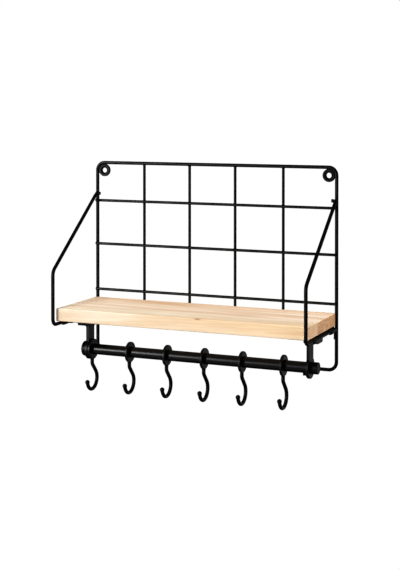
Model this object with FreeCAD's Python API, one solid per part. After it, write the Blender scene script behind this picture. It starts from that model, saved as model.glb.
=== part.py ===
import FreeCAD, Part
import math
import os

# Wall shelf with a wire grid back, a pine board and a rail with sliding hooks.
# Millimetres, +Z up. The wall is the plane Y = 0 and the front faces -Y.
# The origin lies on the wall, midway between the two screw eyelets.

V = FreeCAD.Vector

# Wall fixing
eyelet_od = 19.4
eyelet_hole = 8.2
eyelet_thick = 3.5
eyelet_sink_d = 13.0        # dished seat for a screw head
eyelet_sink_deep = 1.6
eyelet_round = 1.0

# Wires, with their coat
frame_wire = 5.2
grid_wire = 4.2
brace_wire = 5.2
weld_bite = 0.1             # how far crossing wires sink into each other

# Back frame
frame_height = 301.0        # between the axes of the top and bottom wires
upright_inner_x = 38.0
upright_outer_x = 116.0
upright_below_board_top = 14.0
crosswire_drops = (60.2, 129.3, 202.1)   # below the axis of the top wire
crosswire_overhang = 0.5

# Board, edge glued from two staves
board_length = 399.0
board_past_wire = 0.1       # from the axis of a side wire to the board's end
board_depth = 127.5
board_thick = 19.0
board_drop = 214.7          # from the axis of the top wire to the board's top
board_wall_gap = 9.2
board_edge_round = 1.2
front_stave_width = 43.0

# Braces
brace_front_gap = 7.0       # between the board's front face and the wire
brace_top_up = 165.5        # brace heights above the board's top
brace_knee_up = 57.0
brace_tip_in = 6.4
brace_tip_bend = 5.8
brace_knee_bend = 14.0
brace_low_bend = 9.0
brace_rear_bend = 5.0
brace_tail = 15.5

# Seat plates between the board and the braces' bottom runs
plate_thick = 2.0
plate_width = 34.0
plate_end_in = 0.5          # from the board's end
plate_front_in = 10.0       # from the board's front face
plate_rear_in = 1.0         # from the board's rear face
plate_corner = 3.0

# Clips that hold the braces to the plates and the board
clip_strip = 2.0
clip_width = 12.0
clip_foot = 16.0
clip_play = 0.05
clip_front_in = 27.0        # from the board's front face
clip_rear_in = 20.5         # from the board's rear face
clip_screw_in = 10.5        # from the wire's axis

# Wood screws
screw_shank = 4.0
screw_bite = 12.0
screw_head_d = 8.0
screw_head_h = 2.2
screw_slot_w = 1.1
screw_slot_l = 4.6
screw_slot_deep = 1.5

# Rail
rail_od = 16.0
rail_wall = 1.5
rail_below_board = 51.2     # from the board's underside to the rail's axis
bracket_left_in = 24.0      # from the axis of the brace wire to the middle of the stem
bracket_right_in = 18.0     # the rail sits a little right of the board's middle
bracket_thick = 4.5
bracket_stem_width = 18.0
bracket_ring_od = 31.0
bracket_ring_round = 0.7
bracket_foot_deep = 12.5
bracket_foot_width = 25.0
bracket_foot_inner = 3.5    # how far the foot reaches past the stem's inner face
bracket_foot_outer = 13.0   # and past its outer face
bracket_foot_round = 3.0
bracket_flare = 3.0
bracket_screw_out = 7.6     # from the stem's outer face
bracket_screw_apart = 10.0
bracket_screw_bore = 8.6    # sinks the screw heads into the foot
bracket_screw_sink = 2.5
cap_left_od = 23.0
cap_left_long = 8.2
cap_right_od = 17.2
cap_right_long = 10.8
cap_end_thick = 2.0
cap_left_round = 2.0
cap_right_round = 0.7
stop_screw_in = 6.2         # from the right bracket's inner face
stop_screw_head_d = 4.2
stop_screw_head_h = 3.6
stop_screw_shank = 2.5

# Hooks
hook_first_in = 2.5         # from the left bracket's inner face to the middle of the first hook
hook_last_in = 37.7         # from the right bracket's inner face to the middle of the last hook
hook_shares = (0.0, 0.205, 0.405, 0.6, 0.795, 1.0)   # where they hang between the first and the last
hook_ring_od = 31.0
hook_ring_play = 0.4
hook_ring_thick = 4.0
hook_ring_round = 0.8
hook_wire = 5.5
hook_neck_y = -1.5
hook_neck_gap = 0.3         # between the ring and the arm that swings on it
hook_neck_bend = 7.0
hook_lean = 45.0
hook_loop_drop = 45.8
hook_loop_r = 15.6
hook_tip_angle = 167.0
hook_ball_d = 7.0

# Derived places
frame_r = frame_wire / 2
grid_r = grid_wire / 2
brace_r = brace_wire / 2
frame_y = -frame_r
corner_in = eyelet_od / 2 + frame_r - weld_bite
frame_bend = corner_in      # the frame's bends lie round the eyelets
side_x = board_length / 2 - board_past_wire
eyelet_x = side_x - corner_in
top_z = corner_in
bottom_z = top_z - frame_height
board_top = top_z - board_drop
board_under = board_top - board_thick
board_back = -board_wall_gap
board_front = board_back - board_depth
glue_y = board_front + front_stave_width
upright_y = -frame_wire + grid_r
crosswire_y = -frame_wire - grid_r + weld_bite
brace_front_y = board_front - brace_front_gap - brace_r
plate_under = board_under - plate_thick
brace_run_z = plate_under - brace_r
brace_rear_y = -frame_wire - brace_r + weld_bite
brace_tip_y = -frame_wire - brace_r + 1.0
rail_y = (board_front + board_back) / 2
rail_z = board_under - rail_below_board
bracket_left_x = -side_x + bracket_left_in
bracket_right_x = side_x - bracket_right_in
cap_left_face = bracket_left_x - bracket_thick / 2
cap_right_face = bracket_right_x + bracket_thick / 2
clip_front_y = board_front + clip_front_in
clip_rear_y = board_back - clip_rear_in
screw_x = side_x - clip_screw_in
clip_under = plate_under - clip_strip
foot_under = plate_under - bracket_foot_deep
hook_first_x = bracket_left_x + bracket_thick / 2 + hook_first_in
hook_last_x = bracket_right_x - bracket_thick / 2 - hook_last_in

X_AXIS = V(1, 0, 0)
Y_AXIS = V(0, 1, 0)
Z_AXIS = V(0, 0, 1)


def bent_path(points, bends):
    # Straight runs joined by round bends, one radius for each inner corner.
    edges = []
    last = points[0]
    for i in range(1, len(points) - 1):
        corner = points[i]
        u = (corner - points[i - 1]).normalize()
        v = (points[i + 1] - corner).normalize()
        half = u.getAngle(v) / 2
        reach = bends[i - 1] * math.tan(half)
        start = corner - u * reach
        end = corner + v * reach
        inward = (v - u).normalize()
        middle = corner + inward * (bends[i - 1] / math.cos(half) - bends[i - 1])
        edges.append(Part.LineSegment(last, start).toShape())
        edges.append(Part.Arc(start, middle, end).toShape())
        last = end
    edges.append(Part.LineSegment(last, points[-1]).toShape())
    return Part.Wire(edges)


def round_sweep(path, start, direction, radius):
    profile = Part.Wire(Part.makeCircle(radius, start, direction))
    return path.makePipeShell([profile], True, False)


def bent_wire(points, bends, radius):
    path = bent_path(points, bends)
    return round_sweep(path, points[0], points[1] - points[0], radius)


def rod_x(x0, x1, y, z, radius):
    return Part.makeCylinder(radius, x1 - x0, V(x0, y, z), X_AXIS)


def mirrored(shape):
    return shape.mirror(V(0, 0, 0), X_AXIS)


def circle_edges(shape, radius, axis_pos):
    # Full round edges of the given radius at the given place along X.
    picked = []
    for edge in shape.Edges:
        if not isinstance(edge.Curve, Part.Circle):
            continue
        if abs(edge.Curve.Radius - radius) > 1e-6:
            continue
        if abs(edge.Curve.Center.x - axis_pos) < 1e-6:
            picked.append(edge)
    return picked


def make_back_frame():
    # One wire bent to a closed loop, drawn as a half and its mirror image.
    points = [V(0, frame_y, top_z), V(side_x, frame_y, top_z)]
    points += [V(side_x, frame_y, bottom_z), V(0, frame_y, bottom_z)]
    half = bent_wire(points, [frame_bend, frame_bend], frame_r)
    return half.fuse(mirrored(half)).removeSplitter()


def make_upright(x):
    # The upper end butts under the top wire; the lower end hides behind the board.
    low = board_top - upright_below_board_top
    high = top_z - frame_r + weld_bite
    return Part.makeCylinder(grid_r, high - low, V(x, upright_y, low), Z_AXIS)


def make_crosswire(drop):
    reach = side_x + crosswire_overhang
    return rod_x(-reach, reach, crosswire_y, top_z - drop, grid_r)


def make_eyelet(x):
    ring = Part.makeCylinder(eyelet_od / 2, eyelet_thick, V(x, -eyelet_thick, 0), Y_AXIS)
    front = [e for e in ring.Edges if abs(e.CenterOfMass.y + eyelet_thick) < 1e-6]
    ring = ring.makeFillet(eyelet_round, front)
    hole = Part.makeCylinder(eyelet_hole / 2, 2 * eyelet_thick, V(x, -1.5 * eyelet_thick, 0), Y_AXIS)
    seat = Part.makeCone(eyelet_sink_d / 2, eyelet_hole / 2, eyelet_sink_deep,
                         V(x, -eyelet_thick, 0), Y_AXIS)
    return ring.cut(hole).cut(seat)


def make_brace():
    # Right hand brace: turned-in tip, slope, front run, run under the board, tail down the side wire.
    tip_z = board_top + brace_top_up
    points = [V(side_x - brace_tip_in, brace_tip_y, tip_z)]
    points.append(V(side_x, brace_tip_y, tip_z))
    points.append(V(side_x, brace_front_y, board_top + brace_knee_up))
    points.append(V(side_x, brace_front_y, brace_run_z))
    points.append(V(side_x, brace_rear_y, brace_run_z))
    points.append(V(side_x, brace_rear_y, brace_run_z - brace_tail))
    bends = [brace_tip_bend, brace_knee_bend, brace_low_bend, brace_rear_bend]
    return bent_wire(points, bends, brace_r)


def make_seat_plate(side):
    # Flat bar on the bottom run of a brace, under one end of the board.
    end = board_length / 2 - plate_end_in
    y0 = board_front + plate_front_in
    y1 = board_back - plate_rear_in
    bar = Part.makeBox(plate_width, y1 - y0, plate_thick, V(end - plate_width, y0, plate_under))
    corners = [e for e in bar.Edges if abs(e.Vertexes[0].Z - e.Vertexes[1].Z) > plate_thick / 2]
    bar = bar.makeFillet(plate_corner, corners)
    if side < 0:
        bar = mirrored(bar)
    for x, y in clip_screw_places() + bracket_screw_places():
        if x * side > 0:
            low = V(x, y, plate_under - plate_thick)
            bar = bar.cut(Part.makeCylinder(screw_shank / 2, 3 * plate_thick, low, Z_AXIS))
    return bar


def make_clip(y):
    # A strip bent round under the wire, its foot laid flat under the seat plate.
    outer_r = brace_r + clip_play + clip_strip
    y0 = y - clip_width / 2
    loop = Part.makeCylinder(outer_r, clip_width, V(side_x, y0, brace_run_z), Y_AXIS)
    foot_x = side_x - outer_r - clip_foot
    foot = Part.makeBox(side_x - foot_x, clip_width, clip_strip, V(foot_x, y0, clip_under))
    shape = loop.fuse(foot).removeSplitter()
    cut_y = y - clip_width
    above = Part.makeBox(4 * outer_r, 2 * clip_width, outer_r, V(side_x - 2 * outer_r, cut_y, plate_under))
    outside = Part.makeBox(2 * outer_r, 2 * clip_width, outer_r, V(side_x, cut_y, brace_run_z))
    bore = Part.makeCylinder(brace_r + clip_play, 2 * clip_width, V(side_x, cut_y, brace_run_z), Y_AXIS)
    hole = Part.makeCylinder(screw_shank / 2, 3 * clip_strip, V(screw_x, y, clip_under - clip_strip), Z_AXIS)
    return shape.cut(above).cut(outside).cut(bore).cut(hole)


def make_screw(x, y, seat_z, grip):
    # Pan head wood screw driven up into the board, its head under seat_z.
    low = seat_z - screw_head_h
    head = Part.makeCylinder(screw_head_d / 2, screw_head_h, V(x, y, low), Z_AXIS)
    rim = [e for e in head.Edges if isinstance(e.Curve, Part.Circle)]
    rim = [e for e in rim if abs(e.CenterOfMass.z - low) < 1e-6]
    head = head.makeFillet(0.45 * screw_head_h, rim)
    shank = Part.makeCylinder(screw_shank / 2, grip + screw_bite, V(x, y, seat_z), Z_AXIS)
    shape = head.fuse(shank).removeSplitter()
    for long_x, long_y in ((screw_slot_l, screw_slot_w), (screw_slot_w, screw_slot_l)):
        corner = V(x - long_x / 2, y - long_y / 2, low - screw_slot_deep)
        shape = shape.cut(Part.makeBox(long_x, long_y, 2 * screw_slot_deep, corner))
    return shape


def clip_screw_places():
    return [(s * screw_x, y) for s in (-1, 1) for y in (clip_front_y, clip_rear_y)]


def bracket_screw_places():
    out = bracket_thick / 2 + bracket_screw_out
    rows = (rail_y - bracket_screw_apart / 2, rail_y + bracket_screw_apart / 2)
    return [(x, y) for x in (bracket_left_x - out, bracket_right_x + out) for y in rows]


def make_clip_screws():
    grip = plate_thick + clip_strip
    return Part.makeCompound([make_screw(x, y, clip_under, grip) for x, y in clip_screw_places()])


def make_bracket_screws():
    seat_z = foot_under + bracket_screw_sink
    grip = board_under - seat_z
    return Part.makeCompound([make_screw(x, y, seat_z, grip) for x, y in bracket_screw_places()])


def make_stave(y0, y1):
    # One strip of the board; its outer edges are eased, the glued edge stays square.
    box = Part.makeBox(board_length, y1 - y0, board_thick, V(-board_length / 2, y0, board_under))
    eased = []
    for edge in box.Edges:
        ends = [abs(v.Y - glue_y) < 1e-6 for v in edge.Vertexes]
        if not all(ends):
            eased.append(edge)
    shape = box.makeFillet(board_edge_round, eased)
    for x, y in clip_screw_places() + bracket_screw_places():
        if y0 < y < y1:
            pilot = Part.makeCylinder(screw_shank / 2, screw_bite, V(x, y, board_under), Z_AXIS)
            shape = shape.cut(pilot)
    return shape


def make_bracket(x, outward):
    # Foot screwed up through a seat plate, a flared stem and a ring for the rail, all one casting.
    inner = x - outward * (bracket_thick / 2 + bracket_foot_inner)
    outer = x + outward * (bracket_thick / 2 + bracket_foot_outer)
    foot = Part.makeBox(abs(outer - inner), bracket_foot_width, bracket_foot_deep,
                        V(min(inner, outer), rail_y - bracket_foot_width / 2, foot_under))
    low = [e for e in foot.Edges if all(abs(v.Z - foot_under) < 1e-6 for v in e.Vertexes)]
    low = [e for e in low if abs(e.Vertexes[0].X - e.Vertexes[1].X) > 1e-6]
    foot = foot.makeFillet(bracket_foot_round, low)
    stem = Part.makeBox(bracket_thick, bracket_stem_width, foot_under - rail_z,
                        V(x - bracket_thick / 2, rail_y - bracket_stem_width / 2, rail_z))
    arm = foot.fuse(stem).removeSplitter()
    joint = [e for e in arm.Edges if all(abs(v.Z - foot_under) < 1e-6 for v in e.Vertexes)]
    joint = [e for e in joint if abs(abs(e.CenterOfMass.x - x) - bracket_thick / 2) < 1e-6]
    arm = arm.makeFillet(bracket_flare, joint)
    for screw_place_x, screw_place_y in bracket_screw_places():
        if screw_place_x * outward > 0:
            low = V(screw_place_x, screw_place_y, foot_under - bracket_foot_deep)
            arm = arm.cut(Part.makeCylinder(screw_shank / 2, 3 * bracket_foot_deep, low, Z_AXIS))
            arm = arm.cut(Part.makeCylinder(bracket_screw_bore / 2, bracket_foot_deep + bracket_screw_sink,
                                            low, Z_AXIS))
    ring = rod_x(x - bracket_thick / 2, x + bracket_thick / 2, rail_y, rail_z, bracket_ring_od / 2)
    rims = circle_edges(ring, bracket_ring_od / 2, x - bracket_thick / 2)
    rims += circle_edges(ring, bracket_ring_od / 2, x + bracket_thick / 2)
    ring = ring.makeFillet(bracket_ring_round, rims)
    hole = rod_x(x - bracket_thick, x + bracket_thick, rail_y, rail_z, rail_od / 2)
    return arm.fuse(ring).cut(hole).removeSplitter()


def rail_ends():
    left = cap_left_face - cap_left_long + cap_end_thick
    right = cap_right_face + cap_right_long - cap_end_thick
    return left, right


def stop_screw_x():
    return bracket_right_x - bracket_thick / 2 - stop_screw_in


def make_rail():
    left, right = rail_ends()
    tube = rod_x(left, right, rail_y, rail_z, rail_od / 2)
    bore = rod_x(left - 1, right + 1, rail_y, rail_z, rail_od / 2 - rail_wall)
    low = V(stop_screw_x(), rail_y, rail_z - rail_od)
    tap = Part.makeCylinder(stop_screw_shank / 2, rail_od, low, Z_AXIS)
    return tube.cut(bore).cut(tap)


def make_cap(face, direction, od, long, rounding):
    # A cap slipped over one end of the rail, its outer rim rounded.
    end = face + direction * long
    body = rod_x(min(face, end), max(face, end), rail_y, rail_z, od / 2)
    body = body.makeFillet(rounding, circle_edges(body, od / 2, end))
    stop = end - direction * cap_end_thick
    return body.cut(rod_x(min(face, stop), max(face, stop), rail_y, rail_z, rail_od / 2))


def make_stop_screw():
    # Small screw up into the rail's underside beside the right bracket.
    x = stop_screw_x()
    low = rail_z - rail_od / 2
    head = Part.makeCylinder(stop_screw_head_d / 2, stop_screw_head_h,
                             V(x, rail_y, low - stop_screw_head_h), Z_AXIS)
    saddle = rod_x(x - stop_screw_head_d, x + stop_screw_head_d, rail_y, rail_z, rail_od / 2)
    collar = Part.makeCylinder(stop_screw_head_d / 2, 1.0, V(x, rail_y, low), Z_AXIS).cut(saddle)
    shank = Part.makeCylinder(stop_screw_shank / 2, rail_wall + 1.0, V(x, rail_y, low), Z_AXIS)
    return head.fuse([collar, shank]).removeSplitter()


def make_hook_ring():
    # Round disc with a hole that rides loosely on the rail, at the origin.
    half = hook_ring_thick / 2
    disc = rod_x(-half, half, 0, 0, hook_ring_od / 2)
    rims = circle_edges(disc, hook_ring_od / 2, -half) + circle_edges(disc, hook_ring_od / 2, half)
    disc = disc.makeFillet(hook_ring_round, rims)
    return disc.cut(rod_x(-2 * half, 2 * half, 0, 0, rail_od / 2 + hook_ring_play))


def make_hook_arm():
    # Neck, slope and open loop of one bent wire with a ball at the tip, at the origin.
    lean = math.radians(hook_lean)
    centre = V(0, 0, -hook_loop_drop)

    def on_loop(angle):
        return centre + V(0, math.cos(angle), math.sin(angle)) * hook_loop_r

    touch = on_loop(lean)
    corner = V(0, hook_neck_y, touch.z + (touch.y - hook_neck_y) / math.tan(lean))
    top = V(0, hook_neck_y, -hook_ring_od / 2 + hook_wire / 2)
    neck = bent_path([top, corner, touch], [hook_neck_bend])
    tip = -math.radians(hook_tip_angle)
    loop = Part.Arc(touch, on_loop((lean + tip) / 2), on_loop(tip)).toShape()
    path = Part.Wire(neck.Edges + [loop])
    arm = round_sweep(path, top, V(0, 0, -1), hook_wire / 2)
    ball = Part.makeSphere(hook_ball_d / 2, on_loop(tip))
    arm = arm.fuse(ball).removeSplitter()
    clear = rod_x(-hook_ring_od, hook_ring_od, 0, 0, hook_ring_od / 2 + hook_neck_gap)
    arm = arm.cut(clear)
    # The arm hangs with its centre of mass straight below the rail.
    mass = arm.Solids[0].CenterOfMass
    swing = math.degrees(math.atan2(mass.y, -mass.z))
    arm.rotate(V(0, 0, 0), X_AXIS, -swing)
    return arm


def placed(shape, x):
    copy = shape.copy()
    copy.translate(V(x, rail_y, rail_z))
    return copy


os.makedirs("parts", exist_ok=True)
nodes = {"back_frame": make_back_frame()}
upright_places = (-upright_outer_x, -upright_inner_x, upright_inner_x, upright_outer_x)
for number, x in enumerate(upright_places, 1):
    nodes["grid_upright_%d" % number] = make_upright(x)
for number, drop in enumerate(crosswire_drops, 1):
    nodes["grid_crosswire_%d" % number] = make_crosswire(drop)
nodes["eyelet_left"] = make_eyelet(-eyelet_x)
nodes["eyelet_right"] = make_eyelet(eyelet_x)
brace = make_brace()
nodes["brace_right"] = brace
nodes["brace_left"] = mirrored(brace)
for place, y in (("front", clip_front_y), ("rear", clip_rear_y)):
    clip = make_clip(y)
    nodes["clip_%s_right" % place] = clip
    nodes["clip_%s_left" % place] = mirrored(clip)
for word, side in (("left", -1), ("right", 1)):
    nodes["seat_plate_%s" % word] = make_seat_plate(side)
nodes["board_screws"] = make_clip_screws()
nodes["bracket_screws"] = make_bracket_screws()
nodes["board_front_stave"] = make_stave(board_front, glue_y)
nodes["board_rear_stave"] = make_stave(glue_y, board_back)
nodes["rail_bracket_left"] = make_bracket(bracket_left_x, -1)
nodes["rail_bracket_right"] = make_bracket(bracket_right_x, 1)
nodes["rail"] = make_rail()
nodes["rail_cap_left"] = make_cap(cap_left_face, -1, cap_left_od, cap_left_long, cap_left_round)
nodes["rail_cap_right"] = make_cap(cap_right_face, 1, cap_right_od, cap_right_long, cap_right_round)
nodes["rail_stop_screw"] = make_stop_screw()
hook_ring = make_hook_ring()
hook_arm = make_hook_arm()
for number, share in enumerate(hook_shares, 1):
    x = hook_first_x + share * (hook_last_x - hook_first_x)
    nodes["hook_ring_%d" % number] = placed(hook_ring, x)
    nodes["hook_arm_%d" % number] = placed(hook_arm, x)

for name, shape in nodes.items():
    shape.exportStep("parts/%s.step" % name)
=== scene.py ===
import bpy
import math
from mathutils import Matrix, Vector


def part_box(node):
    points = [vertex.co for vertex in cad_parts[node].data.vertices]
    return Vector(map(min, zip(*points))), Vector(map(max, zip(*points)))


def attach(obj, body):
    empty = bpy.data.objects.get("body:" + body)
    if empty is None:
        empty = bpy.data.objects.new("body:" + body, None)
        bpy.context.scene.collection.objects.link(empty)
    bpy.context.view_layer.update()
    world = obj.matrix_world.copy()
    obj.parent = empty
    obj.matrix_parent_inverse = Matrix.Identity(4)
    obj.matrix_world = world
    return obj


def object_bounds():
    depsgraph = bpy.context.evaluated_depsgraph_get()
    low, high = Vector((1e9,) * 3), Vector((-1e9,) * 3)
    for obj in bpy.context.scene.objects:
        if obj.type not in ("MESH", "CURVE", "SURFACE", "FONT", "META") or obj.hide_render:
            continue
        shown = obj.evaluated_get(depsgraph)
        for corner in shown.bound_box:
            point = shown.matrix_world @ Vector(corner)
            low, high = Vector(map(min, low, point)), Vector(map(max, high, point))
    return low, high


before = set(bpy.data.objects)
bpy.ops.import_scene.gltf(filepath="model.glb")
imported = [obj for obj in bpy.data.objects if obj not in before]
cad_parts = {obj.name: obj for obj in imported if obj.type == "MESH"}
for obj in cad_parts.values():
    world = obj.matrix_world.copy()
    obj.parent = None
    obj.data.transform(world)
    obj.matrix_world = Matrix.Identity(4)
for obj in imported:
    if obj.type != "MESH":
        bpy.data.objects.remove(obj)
cad_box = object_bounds()
scene = bpy.context.scene

MM = 0.001
HOOKS = range(1, 7)
UPRIGHTS = range(1, 5)
CROSSWIRES = range(1, 4)
SIDES = ((-1, "left"), (1, "right"))
COLOUR_MIX = {"data_type": "RGBA", "blend_type": "MIX"}
COLOUR_MULTIPLY = {"data_type": "RGBA", "blend_type": "MULTIPLY"}


def linear(hex_colour):
    # sRGB hex to the linear colour that shaders take
    values = []
    for i in (1, 3, 5):
        c = int(hex_colour[i:i + 2], 16) / 255
        values.append(c / 12.92 if c <= 0.04045 else ((c + 0.055) / 1.055) ** 2.4)
    return (*values, 1.0)


def add(tree, kind, inputs=None, **settings):
    # One node with its settings. An input is a value, a socket to link, or a node for its first live output
    made = tree.nodes.new(kind)
    for name, value in settings.items():
        setattr(made, name, value)
    for key, value in (inputs or {}).items():
        if isinstance(value, bpy.types.Node):
            value = next(socket for socket in value.outputs if socket.enabled)
        if isinstance(value, bpy.types.NodeSocket):
            tree.links.new(value, made.inputs[key])
        else:
            made.inputs[key].default_value = value
    return made


def new_material(name):
    material = bpy.data.materials.new(name)
    material.use_nodes = True
    material.node_tree.nodes.clear()
    return material, material.node_tree


def show_surface(tree, inputs):
    # The shader and the output that end a material
    shader = add(tree, "ShaderNodeBsdfPrincipled", inputs)
    add(tree, "ShaderNodeOutputMaterial", {"Surface": shader})


def per_mm(size_mm):
    # Texture scale for a pattern whose features are this many millimetres apart
    return 1.0 / (size_mm * MM)


def set_ramp(ramp, stops):
    # Colour stops as (place, hex colour)
    elements = ramp.color_ramp.elements
    while len(elements) < len(stops):
        elements.new(0.5)
    for element, (place, colour) in zip(elements, stops):
        element.position = place
        element.color = linear(colour)


def satin_black(name, dark, light, peel_mm, rough, bump, specular):
    # Near black and satin: a polyester powder coat baked on steel, a moulded plastic or a black oxide.
    # A faint orange peel or grain breaks up the highlights, and the gloss changes a little.
    cloud_mm = 14
    peel_depth_mm = 0.05
    material, tree = new_material(name)
    place = add(tree, "ShaderNodeTexCoord").outputs["Object"]
    cloud = add(tree, "ShaderNodeTexNoise", {"Vector": place, "Scale": per_mm(cloud_mm), "Detail": 3.0})
    tone = add(tree, "ShaderNodeValToRGB", {"Fac": cloud})
    set_ramp(tone, [(0.35, dark), (0.70, light)])
    gloss = add(tree, "ShaderNodeMapRange", {"Value": cloud, "From Min": 0.3, "From Max": 0.7,
                                             "To Min": rough[0], "To Max": rough[1]})
    peel = add(tree, "ShaderNodeTexNoise", {"Vector": place, "Scale": per_mm(peel_mm), "Detail": 2.0})
    relief = add(tree, "ShaderNodeBump", {"Height": peel, "Strength": bump, "Distance": peel_depth_mm * MM})
    show_surface(tree, {"Base Color": tone, "Roughness": gloss, "Normal": relief,
                        "Specular IOR Level": specular})
    return material


def black_zinc():
    # Steel screws with a black zinc finish: a dark metal with a slight sheen
    cloud_mm = 2.5
    material, tree = new_material("black_zinc_steel")
    place = add(tree, "ShaderNodeTexCoord").outputs["Object"]
    cloud = add(tree, "ShaderNodeTexNoise", {"Vector": place, "Scale": per_mm(cloud_mm), "Detail": 3.0})
    tone = add(tree, "ShaderNodeValToRGB", {"Fac": cloud})
    set_ramp(tone, [(0.3, "#1B1B1D"), (0.7, "#2C2C2F")])
    gloss = add(tree, "ShaderNodeMapRange", {"Value": cloud, "To Min": 0.28, "To Max": 0.48})
    show_surface(tree, {"Base Color": tone, "Roughness": gloss, "Metallic": 0.85})
    return material


def grain_noise(tree, vector, squeeze, size_mm, w, detail):
    # Noise with features of this size across the grain, drawn out along X by the squeeze
    drawn = add(tree, "ShaderNodeVectorMath", {0: vector, 1: (squeeze, 1.0, 1.0)}, operation="MULTIPLY")
    return add(tree, "ShaderNodeTexNoise", {"Vector": drawn, "W": w, "Scale": per_mm(size_mm),
                                            "Detail": detail}, noise_dimensions="4D")


def year_rings(tree, place, pith_mm, slant, seed, ring_mm):
    # The place in the log, with the grain's slow bends, and how far it lies into its year, from 0 to 1
    bend_mm = 42
    sway_mm = 11
    good_years_mm = 13
    turned = add(tree, "ShaderNodeMapping", {"Vector": place, "Location": [-v * MM for v in pith_mm],
                                             "Rotation": slant})
    waver = grain_noise(tree, turned, 0.22, bend_mm, seed, 2.0).outputs["Color"]
    shift = add(tree, "ShaderNodeVectorMath", {0: waver, 1: (0.5, 0.5, 0.5)}, operation="SUBTRACT")
    bent = add(tree, "ShaderNodeVectorMath", {0: shift, 1: (0.0, sway_mm * MM, sway_mm * MM), 2: turned},
               operation="MULTIPLY_ADD")
    across = add(tree, "ShaderNodeVectorMath", {0: bent, 1: (0.0, 1.0, 1.0)}, operation="MULTIPLY")
    radius = add(tree, "ShaderNodeVectorMath", {0: across}, operation="LENGTH")
    # Wide and narrow years
    years = add(tree, "ShaderNodeTexNoise", {"W": radius, "Scale": per_mm(good_years_mm), "Detail": 1.0},
                noise_dimensions="1D")
    count = add(tree, "ShaderNodeMath", {0: radius, 1: per_mm(ring_mm)}, operation="MULTIPLY")
    uneven = add(tree, "ShaderNodeMath", {0: years, 1: 2.2, 2: count}, operation="MULTIPLY_ADD")
    phase = add(tree, "ShaderNodeMath", {0: uneven}, operation="FRACT")
    return bent, phase


def end_grain(tree, coords, colour, early, end_tints, seed):
    # The faces that look along X drink the oil unevenly and are darker
    soak_mm = 4
    ground, speckle = end_tints
    facing = add(tree, "ShaderNodeSeparateXYZ", {"Vector": coords.outputs["Normal"]})
    endwise = add(tree, "ShaderNodeMath", {0: facing.outputs["X"]}, operation="ABSOLUTE")
    soaked = grain_noise(tree, coords.outputs["Object"], 1.0, soak_mm, seed + 5.0, 4.0)
    patches = add(tree, "ShaderNodeMapRange", {"Value": soaked, "From Min": 0.45, "From Max": 0.70})
    blotch = add(tree, "ShaderNodeMix", {"Factor": patches, "A": linear(ground), "B": linear(speckle)},
                 **COLOUR_MIX)
    veil = add(tree, "ShaderNodeMapRange", {"Value": endwise, "From Min": 0.75, "From Max": 0.97,
                                            "To Min": 0.0, "To Max": 0.4})
    calmed = add(tree, "ShaderNodeMix", {"Factor": veil, "A": colour, "B": linear(early)}, **COLOUR_MIX)
    oiled = add(tree, "ShaderNodeMapRange", {"Value": endwise, "From Min": 0.75, "From Max": 0.97})
    return add(tree, "ShaderNodeMix", {"Factor": oiled, "A": calmed, "B": blotch}, **COLOUR_MULTIPLY)


def small_knot(tree, place, colour, fibres, centre_mm, half_mm):
    # A brown knot whose rim the fibres make ragged
    local = add(tree, "ShaderNodeVectorMath", {0: place, 1: [v * MM for v in centre_mm]},
                operation="SUBTRACT")
    scaled = add(tree, "ShaderNodeVectorMath", {0: local, 1: [per_mm(v) for v in half_mm]},
                 operation="MULTIPLY")
    reach = add(tree, "ShaderNodeVectorMath", {0: scaled}, operation="LENGTH")
    ragged = add(tree, "ShaderNodeMath", {0: fibres, 1: 0.9, 2: reach}, operation="MULTIPLY_ADD")
    stain = add(tree, "ShaderNodeMapRange", {"Value": ragged, "From Min": 0.75, "From Max": 1.45,
                                             "To Min": 0.85, "To Max": 0.0})
    return add(tree, "ShaderNodeMix", {"Factor": stain, "A": colour, "B": linear("#8A5A33")}, **COLOUR_MIX)


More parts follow.
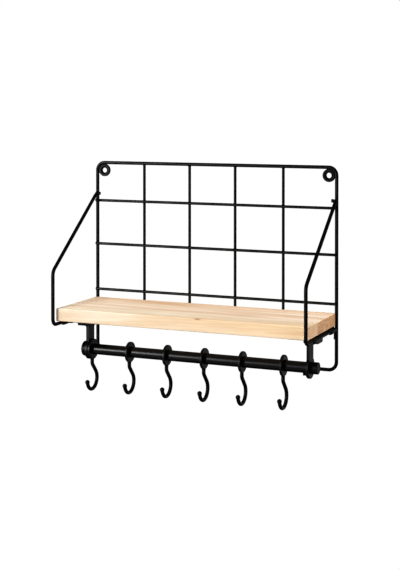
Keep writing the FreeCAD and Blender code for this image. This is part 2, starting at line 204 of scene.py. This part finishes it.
def pine(name, pith_mm, slant, seed, ring_mm, early, late, cream, rosy, deepening_tint, end_tints, knot=None):
    # Scots pine, planed, sanded and clear oiled. The growth rings are real rings round the stave's pith,
    # so the top, the edge and the end grain belong to one piece of wood.
    # The deeper tint: (direction, start mm, end mm, tint), where the wood turns deeper along a direction. On
    # the rear stave it is painted shade that darkens the wood towards its rear edge.
    # end_tints: (ground, speckle), what the oil does to the end grain.
    # knot: (centre mm, half size mm). Places are in the part's own frame.
    band_mm = 19
    flame_mm = 10
    fibre_mm = 1.1
    fibre_depth_mm = 0.06
    material, tree = new_material(name)
    coords = add(tree, "ShaderNodeTexCoord")
    place = coords.outputs["Object"]
    bent, phase = year_rings(tree, place, pith_mm, slant, seed, ring_mm)
    ring = add(tree, "ShaderNodeValToRGB", {"Fac": phase})
    set_ramp(ring, [(0.0, early), (0.40, early), (0.84, late), (1.0, early)])
    # Broad creamy and rosy bands, which hide the rings in places
    bands = grain_noise(tree, bent, 0.085, band_mm, seed + 3.0, 3.0)
    tone = add(tree, "ShaderNodeValToRGB", {"Fac": bands})
    set_ramp(tone, [(0.42, cream), (0.60, rosy)])
    hiding = add(tree, "ShaderNodeMapRange", {"Value": bands, "From Min": 0.40, "From Max": 0.62,
                                              "To Min": 0.80, "To Max": 0.55})
    colour = add(tree, "ShaderNodeMix", {"Factor": hiding, "A": ring, "B": tone}, **COLOUR_MIX)
    # Narrower rosy flames
    flames = grain_noise(tree, bent, 0.06, flame_mm, seed + 8.0, 2.0)
    glow = add(tree, "ShaderNodeMapRange", {"Value": flames, "From Min": 0.53, "From Max": 0.68,
                                            "To Min": 0.0, "To Max": 0.8})
    colour = add(tree, "ShaderNodeMix", {"Factor": glow, "A": colour, "B": linear(rosy)}, **COLOUR_MIX)
    # Fibres: short streaks, a little coarser than real ones so that they show
    fibres = grain_noise(tree, place, 0.03, fibre_mm, seed, 2.0)
    dimming = add(tree, "ShaderNodeMapRange", {"Value": fibres, "From Min": 0.35, "From Max": 0.75,
                                               "To Min": 1.0, "To Max": 0.90})
    colour = add(tree, "ShaderNodeVectorMath", {0: colour, "Scale": dimming}, operation="SCALE")
    # Deeper tint along one direction; on the rear stave, painted shade towards the rear edge
    direction, start_mm, end_mm, tint = deepening_tint
    along = add(tree, "ShaderNodeVectorMath", {0: place, 1: direction}, operation="DOT_PRODUCT")
    deeper = add(tree, "ShaderNodeMapRange", {"Value": along, "From Min": start_mm * MM,
                                              "From Max": end_mm * MM})
    colour = add(tree, "ShaderNodeMix", {"Factor": deeper, "A": colour, "B": linear(tint)}, **COLOUR_MULTIPLY)
    colour = end_grain(tree, coords, colour, early, end_tints, seed)
    if knot:
        colour = small_knot(tree, place, colour, fibres, *knot)
    # Late wood is denser and a little glossier
    gloss = add(tree, "ShaderNodeMapRange", {"Value": phase, "To Min": 0.58, "To Max": 0.46})
    relief = add(tree, "ShaderNodeBump", {"Height": fibres, "Strength": 0.2, "Distance": fibre_depth_mm * MM})
    show_surface(tree, {"Base Color": colour, "Roughness": gloss, "Normal": relief,
                        "Specular IOR Level": 0.35})
    return material


def dress(node_name, material):
    # A CAD node keeps its shape and takes a finish
    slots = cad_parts[node_name].data.materials
    slots.clear()
    slots.append(material)


# Drawn wire under an even coat: deep black with a narrow soft sheen
wire_coat = satin_black("black_powder_coat_wire", dark="#050505", light="#090909", peel_mm=0.9,
                        rough=(0.32, 0.40), bump=0.06, specular=0.30)
# Castings have a coarser skin: a little greyer, with a broken sheen
cast_coat = satin_black("black_powder_coat_casting", dark="#090909", light="#0E0E0F", peel_mm=1.3,
                        rough=(0.34, 0.42), bump=0.12, specular=0.35)
# Drawn tube is the smoothest: the blackest coat with a clear line of light
rail_coat = satin_black("black_powder_coat_tube", dark="#040404", light="#080808", peel_mm=1.6,
                        rough=(0.31, 0.35), bump=0.02, specular=0.45)
# Stamped eyelets: a thin coat that stays dull
eyelet_coat = satin_black("black_powder_coat_stamping", dark="#050505", light="#090909", peel_mm=0.9,
                          rough=(0.40, 0.48), bump=0.06, specular=0.20)
# Moulded end caps: the mould's fine grain gives a broad, weak sheen
cap_plastic = satin_black("black_moulded_plastic_cap", dark="#060606", light="#0A0A0A", peel_mm=0.6,
                          rough=(0.38, 0.46), bump=0.10, specular=0.22)
# Blackened sheet: almost without sheen
plate_oxide = satin_black("black_oxide_sheet_steel", dark="#040404", light="#070707", peel_mm=0.9,
                          rough=(0.60, 0.70), bump=0.08, specular=0.12)
zinc = black_zinc()
# The front stave is evener and creamier, and turns deeper and yellower towards its front edge and right end;
# the rear one has rosier streaks, and painted shade that darkens it towards its rear edge
front_pine = pine("oiled_pine_front_stave", pith_mm=(0, -112, -262), slant=(0.0, 0.020, 0.030), seed=4.0,
                  ring_mm=5.0, early="#E9D5B9", late="#DFC5A3", cream="#E9D5BB", rosy="#DDC09E",
                  deepening_tint=((1.0, -8.0, 0.0), 980, 1290, "#FDF4E4"), end_tints=("#EFDFD1", "#E8D1BB"),
                  knot=((32.6, -137.2, -202.8), (7.5, 5.0, 1.6)))
rear_pine = pine("oiled_pine_rear_stave", pith_mm=(0, -40, -158), slant=(0.0, -0.018, 0.042), seed=12.0,
                 ring_mm=4.4, early="#EED8BE", late="#E0C09E", cream="#F1DDC5", rosy="#DBB792",
                 deepening_tint=((0.0, 1.0, 0.0), -48, -8, "#F9E9D6"), end_tints=("#E0C8AC", "#B78F6A"))

# The finish of each CAD node, by how its name starts; the first that fits holds
FINISHES = (
    ("board_front_stave", front_pine),
    ("board_rear_stave", rear_pine),
    ("board_screws", zinc),
    ("bracket_screws", zinc),
    ("rail_stop_screw", zinc),
    ("rail_bracket", cast_coat),
    ("rail_cap", cap_plastic),
    ("rail", rail_coat),
    ("hook_ring", cast_coat),
    ("hook_arm", wire_coat),
    ("clip", cast_coat),
    ("seat_plate", plate_oxide),
    ("eyelet", eyelet_coat),
    ("back_frame", wire_coat),
    ("grid", wire_coat),
    ("brace", wire_coat),
)
for node_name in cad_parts:
    dress(node_name, next(finish for start, finish in FINISHES if node_name.startswith(start)))


def corners_of(node_name):
    low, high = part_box(node_name)
    return Vector(low), Vector(high)


def middle(node_name):
    low, high = corners_of(node_name)
    return (low + high) / 2


def bead_tree():
    # Small swollen beads of weld on marked points, each with its own half size, a little uneven
    ripple_mm = 2.4
    tree = bpy.data.node_groups.new("weld_beads", "GeometryNodeTree")
    for name, kind in (("Geometry", "NodeSocketGeometry"), ("Unevenness", "NodeSocketFloat"),
                       ("Ripple", "NodeSocketFloat"), ("Seed", "NodeSocketInt"),
                       ("Finish", "NodeSocketMaterial")):
        tree.interface.new_socket(name=name, in_out="INPUT", socket_type=kind)
    tree.interface.new_socket(name="Geometry", in_out="OUTPUT", socket_type="NodeSocketGeometry")
    given = add(tree, "NodeGroupInput").outputs
    bead = add(tree, "GeometryNodeMeshIcoSphere", {"Radius": 1.0, "Subdivisions": 3})
    half = add(tree, "GeometryNodeInputNamedAttribute", {"Name": "half_size"}, data_type="FLOAT_VECTOR")
    least = add(tree, "ShaderNodeMath", {0: 1.0, 1: given["Unevenness"]}, operation="SUBTRACT")
    most = add(tree, "ShaderNodeMath", {0: 1.0, 1: given["Unevenness"]}, operation="ADD")
    vary = add(tree, "FunctionNodeRandomValue", {2: least, 3: most, "Seed": given["Seed"]},
               data_type="FLOAT")
    size = add(tree, "ShaderNodeVectorMath", {0: half, "Scale": vary}, operation="SCALE")
    placed = add(tree, "GeometryNodeInstanceOnPoints", {"Points": given["Geometry"], "Instance": bead,
                                                        "Scale": size})
    solid = add(tree, "GeometryNodeRealizeInstances", {"Geometry": placed})
    wobble = add(tree, "ShaderNodeTexNoise", {"Scale": per_mm(ripple_mm), "Detail": 1.0}).outputs["Color"]
    centred = add(tree, "ShaderNodeVectorMath", {0: wobble, 1: (0.5, 0.5, 0.5)}, operation="SUBTRACT")
    offset = add(tree, "ShaderNodeVectorMath", {0: centred, "Scale": given["Ripple"]}, operation="SCALE")
    rough = add(tree, "GeometryNodeSetPosition", {"Geometry": solid, "Offset": offset})
    smooth = add(tree, "GeometryNodeSetShadeSmooth", {"Geometry": rough})
    finish = add(tree, "GeometryNodeSetMaterial", {"Geometry": smooth, "Material": given["Finish"]})
    add(tree, "NodeGroupOutput", {"Geometry": finish})
    return tree


BEADS = bead_tree()
BEAD_UNEVENNESS = 0.12
BEAD_RIPPLE_MM = 0.5


def weld(name, body, spots, seed):
    # spots: (place in metres, half size in millimetres)
    mesh = bpy.data.meshes.new(name + "_spots")
    mesh.from_pydata([place for place, half in spots], [], [])
    sizes = mesh.attributes.new("half_size", "FLOAT_VECTOR", "POINT")
    for i, (place, half) in enumerate(spots):
        sizes.data[i].vector = [v * MM for v in half]
    piece = bpy.data.objects.new(name, mesh)
    scene.collection.objects.link(piece)
    modifier = piece.modifiers.new("beads", "NODES")
    modifier.node_group = BEADS
    values = {"Unevenness": BEAD_UNEVENNESS, "Ripple": BEAD_RIPPLE_MM * MM, "Seed": seed, "Finish": wire_coat}
    for item in BEADS.interface.items_tree:
        if item.in_out == "INPUT" and item.name in values:
            modifier[item.identifier] = values[item.name]
    graph = bpy.context.evaluated_depsgraph_get()
    made = bpy.data.meshes.new_from_object(piece.evaluated_get(graph))
    piece.modifiers.clear()
    piece.data = made
    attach(piece, body)


# Half sizes of the beads along X, Y and Z in millimetres, and their places on the pieces
CROSSING_BEAD = (2.7, 1.1, 2.7)
SIDE_WIRE_BEAD = (3.0, 1.1, 2.7)
TOP_WIRE_BEAD = (2.6, 2.2, 1.0)
EYELET_TOP_BEAD = (4.2, 1.3, 0.9)
EYELET_SIDE_BEAD = (0.9, 1.3, 4.2)
BRACE_TIP_BEAD = (3.2, 1.5, 2.9)
BRACE_LAP_BEAD = (0.8, 0.9, 5.5)
LAP_FROM_MIDDLE_MM = 1.9
LAP_ABOVE_BRACE_FOOT_MM = 6
HOOK_NECK_BEAD = (3.0, 3.0, 1.0)
NECK_BEFORE_RAIL_AXIS_MM = 2.5
NECK_BELOW_ARM_TOP_MM = 0.5

upright_x = [middle("grid_upright_%d" % k).x for k in UPRIGHTS]
upright_y = middle("grid_upright_1").y
cross_z = [middle("grid_crosswire_%d" % k).z for k in CROSSWIRES]
frame_low, frame_high = corners_of("back_frame")
wire = frame_high.y - frame_low.y
side_x = frame_high.x - wire / 2
contact_y = frame_low.y

grid_spots = []
for z in cross_z:
    for x in upright_x:
        grid_spots.append(((x, contact_y, z), CROSSING_BEAD))
    for side in (-1, 1):
        grid_spots.append(((side * side_x, contact_y, z), SIDE_WIRE_BEAD))
for x in upright_x:
    grid_spots.append(((x, upright_y, frame_high.z - wire), TOP_WIRE_BEAD))
weld("grid_welds", "shelf", grid_spots, seed=3)

frame_spots = []
for side, word in SIDES:
    hole = middle("eyelet_" + word)
    eyelet_top_z = corners_of("eyelet_" + word)[1].z
    frame_spots.append(((hole.x, hole.y, eyelet_top_z), EYELET_TOP_BEAD))
    frame_spots.append(((side * (side_x - wire / 2), hole.y, hole.z), EYELET_SIDE_BEAD))
    brace_low, brace_high = corners_of("brace_" + word)
    frame_spots.append(((side * side_x, contact_y, brace_high.z - wire / 2), BRACE_TIP_BEAD))
    lap_z = brace_low.z + LAP_ABOVE_BRACE_FOOT_MM * MM
    for flank in (-1, 1):
        lap_x = side * side_x + flank * LAP_FROM_MIDDLE_MM * MM
        frame_spots.append(((lap_x, contact_y, lap_z), BRACE_LAP_BEAD))
weld("frame_welds", "shelf", frame_spots, seed=5)

neck_y = middle("rail").y - NECK_BEFORE_RAIL_AXIS_MM * MM
for k in HOOKS:
    arm = "hook_arm_%d" % k
    neck_z = corners_of(arm)[1].z - NECK_BELOW_ARM_TOP_MM * MM
    weld("hook_weld_%d" % k, arm, [((middle("hook_ring_%d" % k).x, neck_y, neck_z), HOOK_NECK_BEAD)],
         seed=10 + k)

# Stage: pale floor and pale surroundings; the floor gives no light, shade or mirror image
FLOOR_DROP = 1.1
FLOOR_HALF = 2.0
FLOOR_CLOUD_MM = 600

floor_z = cad_box[0][2] - FLOOR_DROP
floor_corners = [(x * FLOOR_HALF, y * FLOOR_HALF, floor_z) for x, y in ((-1, -1), (1, -1), (1, 1), (-1, 1))]
floor_mesh = bpy.data.meshes.new("floor")
floor_mesh.from_pydata(floor_corners, [], [(0, 1, 2, 3)])
floor = bpy.data.objects.new("floor", floor_mesh)
scene.collection.objects.link(floor)
# Matt pale paint, faintly cloudy
floor_finish, floor_tree = new_material("pale_floor")
floor_place = add(floor_tree, "ShaderNodeTexCoord").outputs["Object"]
floor_cloud = add(floor_tree, "ShaderNodeTexNoise", {"Vector": floor_place, "Scale": per_mm(FLOOR_CLOUD_MM)})
floor_tone = add(floor_tree, "ShaderNodeValToRGB", {"Fac": floor_cloud})
set_ramp(floor_tone, [(0.3, "#F3F2F0"), (0.7, "#F6F5F4")])
show_surface(floor_tree, {"Base Color": floor_tone, "Roughness": 0.9})
floor_mesh.materials.append(floor_finish)
floor.visible_glossy = False
floor.visible_diffuse = False
floor.visible_shadow = False

# How bright the surroundings are to the camera, as light on the part, and mirrored in its finishes
ROOM_SEEN = 1.0
ROOM_LIGHT = 0.22
ROOM_MIRRORED = 0.03

world = bpy.data.worlds.new("pale_room")
scene.world = world
world.use_nodes = True
room = world.node_tree
room.nodes.clear()
rays = add(room, "ShaderNodeLightPath").outputs
seen = add(room, "ShaderNodeMapRange", {"Value": rays["Is Camera Ray"], "To Min": ROOM_LIGHT,
                                        "To Max": ROOM_SEEN})
strength = add(room, "ShaderNodeMath", {0: rays["Is Glossy Ray"], 1: ROOM_MIRRORED - ROOM_LIGHT, 2: seen},
               operation="MULTIPLY_ADD")
sky = add(room, "ShaderNodeBackground", {"Color": linear("#FFFFFF"), "Strength": strength})
add(room, "ShaderNodeOutputWorld", {"Surface": sky})

# A little more contrast than the default gives the coat its deep black
VIEW_GAMMA = 0.8
SUN_COLOUR = "#F2F7FF"
scene.view_settings.view_transform = "Standard"
scene.view_settings.gamma = VIEW_GAMMA


def soft_sun(name, towards, strength, spread_deg, shadow=True):
    # A far light that no finish mirrors; towards is the direction from the part to the light
    data = bpy.data.lights.new(name, "SUN")
    data.energy = strength
    data.angle = math.radians(spread_deg)
    data.color = linear(SUN_COLOUR)[:3]
    data.use_shadow = shadow
    light = bpy.data.objects.new(name, data)
    light.rotation_euler = Vector(towards).to_track_quat("Z", "Y").to_euler()
    light.visible_glossy = False
    scene.collection.objects.link(light)


def gloss_panel(name, place, width, height, strength_w):
    # A light that faces the rail and is seen only mirrored in the finishes; sizes are in metres
    data = bpy.data.lights.new(name, "AREA")
    data.shape = "RECTANGLE"
    data.size = width
    data.size_y = height
    data.energy = strength_w
    light = bpy.data.objects.new(name, data)
    light.location = place
    light.rotation_euler = (Vector(place) - middle("rail")).to_track_quat("Z", "Y").to_euler()
    light.visible_diffuse = False
    light.visible_camera = False
    scene.collection.objects.link(light)


# The key stands in front, a little to the left and above; the others fill the back, underside and right end
soft_sun("key_front", towards=(-0.11, -0.765, 0.635), strength=4.38, spread_deg=15)
soft_sun("fill_back", towards=(0.0, 0.90, 0.45), strength=1.6, spread_deg=90)
soft_sun("fill_below", towards=(0.0, 0.0, -1.0), strength=0.9, spread_deg=5, shadow=False)
soft_sun("fill_right", towards=(0.97, -0.12, 0.20), strength=2.95, spread_deg=60)

# The line of light along the rail, a sheen on the flats that face right, and one under the rail
gloss_panel("strip_left", place=(-1.65, -2.53, 0.20), width=0.3, height=1.1, strength_w=59)
gloss_panel("panel_right", place=(0.68, 1.5, -0.62), width=0.8, height=0.8, strength_w=1.0)
gloss_panel("panel_low", place=(-0.84, -1.47, -1.43), width=1.2, height=2.0, strength_w=2.6)

# Camera at the photograph's place and angle
PHOTO_WIDTH_PX = 400
PHOTO_MIDDLE_ROW_PX = 285
OPTICAL_AXIS_ROW_PX = 119.88
FOCAL_LENGTH_PX = 1249.97
SENSOR_MM = 36.0
CAMERA_PLACE = (0.74320, -1.77980, 0.10771)
LOOK_DOWN_DEG = 0.78
TURN_LEFT_DEG = 23.26
CLIP_END = 60

camera_data = bpy.data.cameras.new("photo_camera")
camera_data.sensor_fit = "HORIZONTAL"
camera_data.sensor_width = SENSOR_MM
camera_data.lens = SENSOR_MM * FOCAL_LENGTH_PX / PHOTO_WIDTH_PX
camera_data.shift_y = -(PHOTO_MIDDLE_ROW_PX - OPTICAL_AXIS_ROW_PX) / PHOTO_WIDTH_PX
camera_data.clip_end = CLIP_END
camera = bpy.data.objects.new("photo_camera", camera_data)
camera.location = CAMERA_PLACE
camera.rotation_euler = (math.radians(90 - LOOK_DOWN_DEG), 0, math.radians(TURN_LEFT_DEG))
scene.collection.objects.link(camera)
scene.camera = camera
